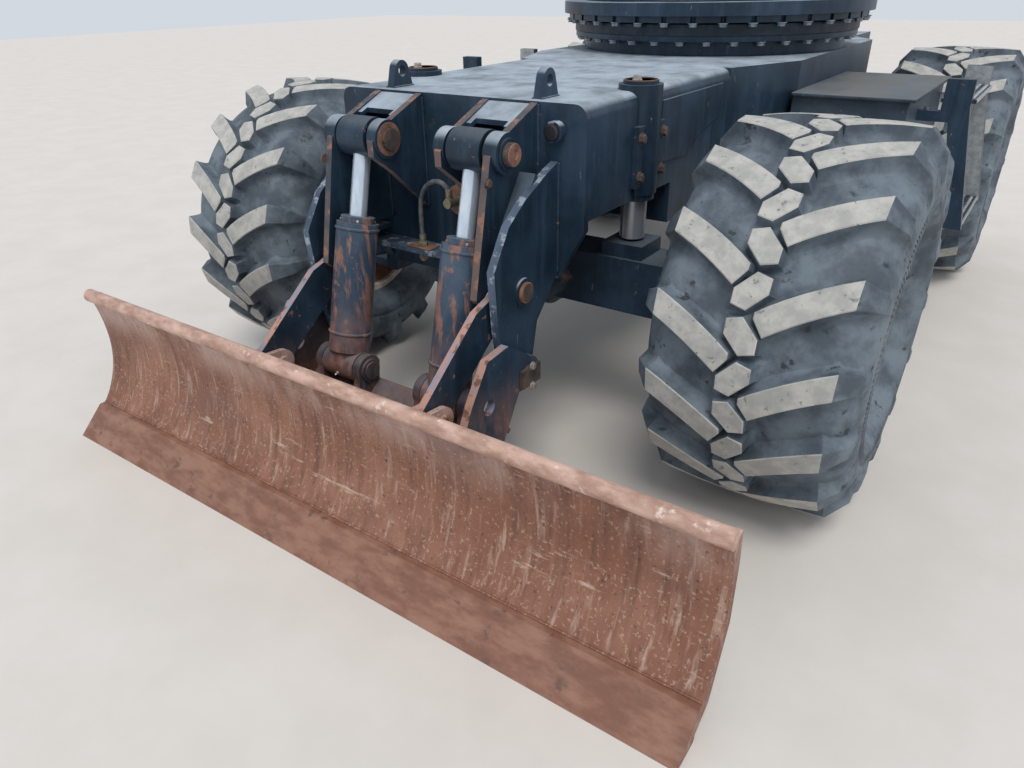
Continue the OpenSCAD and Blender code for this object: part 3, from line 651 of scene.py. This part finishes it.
def dress_nodes(m):
    ears, side_plate = [(0.121, 0.145), (0.295, 0.319)], [(0.364, 0.390)]
    dress("frame", m["paint_top"], 0.003)
    dress("blade_mount", m["paint_top"], 0.0016, (m["edge_dark"], plate_rim(ears)),
          (m["edge_blue"], plate_rim(side_plate)))
    dress("mount_pins", m["steel"], 0.003)
    dress("turret_collar", m["paint"], 0.003)
    dress("slew_ring_fixed", m["dark_steel"], 0.002)
    dress("slew_ring_turning", m["paint"], 0.002)
    dress("centre_swivel", m["steel"], 0.002)
    for side in ("left", "right"):
        dress("lock_barrel_" + side, m["paint_low"], 0.003)
        dress("lock_plunger_" + side, m["brushed"], 0.0015)
        dress("toolbox_" + side, m["box"], 0.004)
        dress("steps_" + side, m["galvanised"], 0.002, (m["paint_low"], stringer))
        dress("knuckle_" + side, m["paint_low"], 0.004)
        dress("upper_link_" + side, m["paint_worn"], 0.0016, (m["edge"], plate_rim([(0.325, 0.349)])))
        dress("lift_barrel_" + side, m["barrel"], 0.003)
        dress("lift_rod_" + side, m["chrome"], 0.002, (m["paint_low"], rod_eye))
    for node in ("front_axle_beam", "steering_cylinder", "rear_axle", "transmission", "drive_shaft"):
        dress(node, m["paint_low"], 0.004)
    dress("steering_rod", m["chrome"], 0.002)
    dress("lower_arm", m["paint_worn"], 0.002, (m["edge"], plate_rim([(0.397, 0.423)])))
    dress("blade", m["blade"], 0.003, (m["lip"], lambda mesh, p: p.center.z > BLADE_BAR_Z))
    dress("cutting_edge", m["cutting"], 0.002)
    dress("hoses", m["zinc"], 0.001)
    for name, _, _ in WHEELS:
        dress("rim_" + name, m["rim"], 0.002, (m["rim_lip"], rim_lip))
        dress("hub_" + name, m["hub"], 0.002)


def stringer(mesh, p):
    """Faces of the steps' side posts."""
    return in_any(p.center.y, [(0.264, 0.3045), (0.8255, 0.866)])


def rod_eye(mesh, p):
    """Faces of a lift rod's eye."""
    return (p.center.yz - local(0, *TOP_PIN).yz).length < ROD_EYE_R


def rim_lip(mesh, p):
    """Faces of a rim's outer and inner lip."""
    return abs(abs(p.center.x) - WHEEL_X) > 0.2115


# Small pieces: hose, bolts, welds, caps and treads
HOSE_D = 0.016
# The hose's route, from the elbow on the boss over and down to the union in the cross plate.
HOSE = [(0.030, -0.460, 0.924), (0.030, -0.460, 0.936), (0.022, -0.461, 0.954), (0.004, -0.461, 0.966),
        (-0.022, -0.460, 0.968), (-0.050, -0.457, 0.958), (-0.078, -0.453, 0.936), (-0.097, -0.450, 0.904),
        (-0.105, -0.448, 0.868), (-0.108, -0.447, 0.815), (-0.108, -0.446, 0.757)]
# The boss that the hose starts from, on the front plate.
HOSE_BOSS = (0.030, -0.4132, 0.905)


def smooth_path(points, steps=4):
    """A curve through points."""
    pts = [Vector(p) for p in points]
    path = []
    for i in range(len(pts) - 1):
        a, b, c, d = pts[max(i - 1, 0)], pts[i], pts[i + 1], pts[min(i + 2, len(pts) - 1)]
        for k in range(steps):
            t = k / steps
            path.append(0.5 * (2 * b + (c - a) * t + (2 * a - 5 * b + 4 * c - d) * t ** 2
                               + (3 * b - a - 3 * c + d) * t ** 3))
    return path + [pts[-1]]


def add_hose(m):
    path = smooth_path([local(*p) for p in HOSE])
    hose = Shape(m["hose"]).tube(path, HOSE_D / 2, 16).object("hose", "chassis", "black_rubber")
    ends = Shape(m["zinc"], m["rust"])
    # ferrule and nut at the boss
    ends.at = facing(path[0], (0, 0, -1))
    ends.lathe([(0.0105, -0.026), (0.0112, -0.022), (0.0112, -0.003), (0.0100, 0.0), (0.0100, 0.004)], 20)
    ends.lathe([(0.0125, 0.002), (0.0140, 0.005), (0.0140, 0.012), (0.0125, 0.016)], 6)
    # ferrule and union, with a nut on each side of the cross plate
    ends.at = facing(path[-1], (0, 0, -1))
    ends.lathe([(0.0105, -0.022), (0.0112, -0.018), (0.0112, 0.0), (0.0100, 0.003)], 20)
    for top in (0.003, 0.045):
        ends.lathe([(0.0150, top), (0.0165, top + 0.003), (0.0165, top + 0.013), (0.0150, top + 0.016)], 6)
    ends.lathe([(0.0125, 0.016), (0.0125, 0.068)], 16)
    # rusty flange under the union, and rust round the boss
    ends.at = Matrix.Identity(4)
    ends.mat = 1
    ends.block(local(-0.165, -0.468, 0.7322), local(-0.062, -0.412, 0.7385), 0.002)
    ends.at = facing(local(*HOSE_BOSS), (0, -1, 0))
    ends.lathe([(0.0476, 0.0002), (0.0476, 0.0012), (0.0440, 0.0020), (0.0160, 0.0020)], 40)
    ends.object("hose_fittings", "chassis", "machined_steel")


def add_ring_bolts(m):
    """Heads under the flanges of both slewing rings."""
    rows = [("fixed", "chassis", 0.654, FRAME_Z + 0.058, 0, 7.0),
            ("turning", "slew_ring", 0.703, FRAME_Z + 0.134, 5, 11.0)]
    for name, body, radius, z, start, turn in rows:
        shape = Shape(m["bolt"])
        for k in range(RING_SCREWS):
            a = math.radians(360 / RING_SCREWS * k + start)
            place = (radius * math.sin(a), SLEW_Y + radius * math.cos(a), z)
            shape.bolt(place, (0, 0, -1), 0.034, turn=turn * k)
        shape.object("ring_bolts_" + name, body, "machined_steel", smooth=False)


def add_front_bolts(m):
    """Bolts, pin ends and caps on the locks, the front plate and the blade's bracket."""
    names = ("steel", "bright", "black", "rust", "pin", "orange", "paint_low")
    steel, bright, black, rust, pin, orange, paint = range(len(names))
    shape = Shape(*(m[name] for name in names))

    def turned(place, axis, material, profile, segments):
        shape.at = facing(local(*place), axis)
        shape.mat = material
        shape.lathe(profile, segments)
        shape.at = Matrix.Identity(4)

    for _, s in SIDES:
        # the saddle bolts of the right lock are cleaner
        shape.mat = steel if s > 0 else bright
        for z in (0.965, 1.085):
            for y in (-0.078, 0.078):
                shape.bolt(local(s * 0.5002, y, z), (s, 0, 0), 0.030, turn=20)
        # hose port and rusty rim on the lock's cap
        turned((s * LOCK_X, -0.028, 1.2462), (0, 0, 1), bright,
               [(0.017, 0), (0.017, 0.004), (0.014, 0.006), (0.014, 0.016), (0.012, 0.018)], 6)
        turned((s * LOCK_X, 0.0, 1.2462), (0, 0, 1), rust,
               [(0.0535, 0), (0.0535, 0.002), (0.0500, 0.0025), (0.0500, 0)], 48)
        # cap and plug on the front plate
        turned((s * 0.382, -0.4092, 1.144), (0, -1, 0), black,
               [(0.024, 0), (0.025, 0.003), (0.024, 0.009), (0.019, 0.012)], 28)
        turned((s * 0.300, FRONT_PLATE_Y - 0.0002, 0.82), (0, -1, 0), black,
               [(0.022, 0), (0.022, 0.002), (0.019, 0.004)], 28)
        # top pin: ring on its boss, its end, the bolt of its keeper, and the ring inside
        turned((s * 0.3352, *TOP_PIN), (s, 0, 0), paint,
               [(0.0445, 0), (0.0445, 0.003), (0.0420, 0.0045), (0.0335, 0.0045), (0.0335, 0)], 40)
        turned((s * 0.3562, *TOP_PIN), (s, 0, 0), pin,
               [(0.0315, 0), (0.0315, 0.001), (0.0295, 0.003), (0.0140, 0.003), (0.0120, 0.0008)], 40)
        shape.mat = steel
        shape.bolt(local(s * 0.3192, -0.640, 1.040), (s, 0, 0), 0.024, turn=12)
        turned((s * 0.1128, *TOP_PIN), (-s, 0, 0), rust,
               [(0.0500, 0), (0.0500, 0.003), (0.0480, 0.004), (0.0340, 0.004), (0.0340, 0)], 40)
        # thread on the upper link's pin
        thread = [0.0300, 0.0315] * 4 + [0.0290]
        turned((s * 0.398, *LINK_PIN), (s, 0, 0), orange, [(r, 0.0014 * k) for k, r in enumerate(thread)], 32)
        # keeper bolts of the lower arm's pin
        shape.mat = bright
        y, z = ARM_PIN
        for above in (-0.034, 0.034):
            shape.bolt(local(s * 0.4372, y, z + above), (s, 0, 0), 0.022, turn=15)
    shape.object("front_bolts_and_caps", "chassis", "machined_steel", angle=30)


# Weld beads on the front plate: x of a plate's face, and the bead's lower and upper end.
FRONT_WELDS = [(0.121, 0.865, 1.205), (0.145, 0.865, 1.160), (0.295, 0.805, 1.160), (0.319, 0.805, 1.212),
               (0.364, 0.725, 1.055), (0.390, 0.725, 1.055)]


def add_front_welds(m):
    """Beads down the ears and side plates, and beside the lifting lugs."""
    welds = Shape(m["paint"])
    seed = 0
    for _, s in SIDES:
        for x, z0, z1 in FRONT_WELDS:
            seed += 1
            points = [local(s * x, FRONT_PLATE_Y - 0.003, z0 + (z1 - z0) * k / 40) for k in range(41)]
            welds.tube(points, 0.005, 8, 0.35, seed)
        for beside in (-0.015, 0.015):
            seed += 1
            x = s * (LIFTING_LUG_X + beside)
            points = [local(x, LIFTING_LUG_Y - 0.048 + 0.096 * k / 14, FRAME_Z + 0.0005) for k in range(15)]
            welds.tube(points, 0.004, 8, 0.4, seed)
    welds.object("front_welds", "chassis", "dark_paint", angle=60)


# Outline of the doubler plates on the frame's side walls: (y, z).
DOUBLER = [(0.100, 1.176), (0.100, 0.976), (0.309, 0.966), (0.447, 1.028), (0.620, 1.060), (0.620, 1.176)]


def add_doublers(m):
    plates = Shape(m["paint"])
    for _, s in SIDES:
        rings = [[local(s * x, y, z) for y, z in offset_outline(DOUBLER, out)]
                 for x, out in ((0.4798, 0.0), (0.4845, 0.0), (0.4860, -0.0015))]
        plates.rings(rings if s < 0 else rings[::-1])
    plates.object("side_doublers", "chassis", "dark_paint", angle=30)


def add_cylinder_details(m):
    """Weld beads, the gland's cap with its screws, and the grease nipple of each lift cylinder."""
    axis = (local(0, *TOP_PIN) - local(0, *BASE_PIN)).normalized()
    for name, s in SIDES:
        shape = Shape(m["barrel"], m["bright"])
        base = local(s * CYLINDER_X, *BASE_PIN)
        shape.at = facing(base, axis)
        for along in (0.110, 0.452):
            bead = [(0.0680, -0.005), (0.0715, -0.003), (0.0725, 0), (0.0715, 0.003), (0.0680, 0.005)]
            shape.lathe([(r, along + z) for r, z in bead], 48, caps=False)
        shape.lathe([(0.0550, 0.4864), (0.0550, 0.4905), (0.0520, 0.4925), (0.0310, 0.4925), (0.0300, 0.4900)], 40)
        shape.mat = 1
        barrel = shape.at
        for a in (math.radians(45 + 90 * k) for k in range(4)):
            out = (math.cos(a), math.sin(a), 0)
            shape.at = barrel @ facing((0.0555 * out[0], 0.0555 * out[1], 0.478), out)
            shape.lathe([(0.005, -0.004), (0.005, 0.0), (0.003, 0.001)], 12)
        shape.at = facing(base + Vector((0, -0.050, -0.016)), (0, -0.95, -0.3))
        shape.lathe([(0.006, 0), (0.006, 0.006), (0.0035, 0.008), (0.0035, 0.013), (0.002, 0.015)], 12)
        shape.object("lift_cylinder_details_" + name, "lift_barrels", "dark_paint", angle=40)


def add_blade_details(m):
    """The bead over the cutting edge, and the ends of the blade's pins."""
    shape = Shape(m["blade"], m["orange"])
    reach = BLADE_HALF - 0.004
    shape.tube([(x / 40 * reach, BLADE_SEAM_Y, BLADE_SEAM_Z) for x in range(-40, 41)], 0.0035, 8, 0.4, 7)
    shape.mat = 1
    for _, s in SIDES:
        for x, end, r in ((0.377, LINK_END, 0.0225), (0.457, ARM_END, 0.0240)):
            shape.at = facing(local(s * (x + 0.0002), *end), (s, 0, 0))
            shape.lathe([(r * 1.08, 0), (r * 1.08, 0.002), (r, 0.004), (r * 0.5, 0.004), (r * 0.42, 0.002)], 32)
    shape.object("blade_weld_and_pin_ends", "blade", "worn_rust", angle=60)


def add_step_treads(m):
    """Dark treads with rows of raised dots, and the bolts of the posts."""
    rows, columns, pitch = 4, 17, 0.030
    tread_y0, tread_y1 = 0.309, 0.821
    for name, s in SIDES:
        shape = Shape(m["galvanised"], m["dark_steel"])
        for x0, x1, z in ((1.146, 1.259, 1.0842), (1.186, 1.320, 0.6042)):
            shape.mat = 1
            shape.block((min(s * x0, s * x1), tread_y0, z), (max(s * x0, s * x1), tread_y1, z + 0.0010))
            shape.mat = 0
            for i in range(rows):
                x = s * (x0 + (x1 - x0) * (i + 0.5) / rows)
                for k in range(columns):
                    y = 0.325 + pitch * k + pitch / 2 * (i % 2)
                    if y <= tread_y1 - 0.006:
                        shape.at = facing((x, y, z))
                        shape.lathe([(0.0085, 0.0008), (0.0070, 0.0035), (0.0045, 0.0045)], 12)
            shape.at = Matrix.Identity(4)
        # two bolts in one place on each post
        for y in (0.285, 0.285, 0.845, 0.845):
            shape.bolt((s * 1.100, y, 1.0402), (0, 0, 1), 0.022, turn=9)
        shape.object("step_treads_" + name, "chassis", "galvanised", angle=30)


WHEEL_NUTS, NUT_CIRCLE, DISC_X = 10, 0.1875, 0.1082


def add_wheel_details(m):
    """Nuts on their studs, and the valve."""
    for name, side, y in WHEELS:
        shape = Shape(m["steel"], m["bright"])
        centre = Vector((side * WHEEL_X, y, AXLE_Z))
        for k in range(WHEEL_NUTS):
            a = math.radians(360 / WHEEL_NUTS * k + 11)
            place = centre + Vector((side * DISC_X, NUT_CIRCLE * math.sin(a), NUT_CIRCLE * math.cos(a)))
            shape.mat = 0
            shape.bolt(place, (side, 0, 0), 0.034, turn=13.0 * k)
            shape.mat = 1
            shape.at = facing(place, (side, 0, 0))
            shape.lathe([(0.0095, 0.010), (0.0095, 0.026), (0.0080, 0.028)], 14)
            shape.at = Matrix.Identity(4)
        shape.at = facing(centre + Vector((side * 0.150, 0, 0.246)), (side, 0, -0.25))
        shape.lathe([(0.006, 0), (0.006, 0.030), (0.0075, 0.031), (0.0075, 0.042), (0.006, 0.044)], 14)
        shape.object("wheel_nuts_" + name, "wheel_" + name, "machined_steel", angle=30)


# Floor and light
def add_stage():
    mesh = bpy.data.meshes.new("floor")
    size = 30
    mesh.from_pydata([(-size, -size, 0), (size, -size, 0), (size, size, 0), (-size, size, 0)], [], [[0, 1, 2, 3]])
    floor = bpy.data.objects.new("floor", mesh)
    bpy.context.scene.collection.objects.link(floor)
    f = Finish("floor")
    f.shader.inputs["Roughness"].default_value = 0.9
    mesh.materials.append(f.done(f.mix(f.noise(3, 0.3, 0.7), rgb(214, 208, 201), rgb(220, 214, 208))))


def add_light():
    world = bpy.data.worlds.new("world")
    bpy.context.scene.world = world
    world.use_nodes = True
    back = world.node_tree.nodes["Background"]
    back.inputs["Color"].default_value = (0.86, 0.92, 1.0, 1)
    back.inputs["Strength"].default_value = 0.75
    sun = bpy.data.lights.new("sun", "SUN")
    sun.energy = 1.5
    sun.angle = math.radians(25)
    sun.color = (1.0, 0.97, 0.92)
    lamp = bpy.data.objects.new("sun", sun)
    lamp.matrix_world = facing((0, 0, 6), (0.35, -0.45, 1.0))
    bpy.context.scene.collection.objects.link(lamp)
    bpy.context.scene.view_settings.view_transform = "Standard"


add_camera()
MATERIALS = make_materials()
add_hose(MATERIALS)
dress_nodes(MATERIALS)
add_tyres(MATERIALS)
add_ring_bolts(MATERIALS)
add_front_bolts(MATERIALS)
add_front_welds(MATERIALS)
add_doublers(MATERIALS)
add_cylinder_details(MATERIALS)
add_blade_details(MATERIALS)
add_step_treads(MATERIALS)
add_wheel_details(MATERIALS)
add_stage()
add_light()
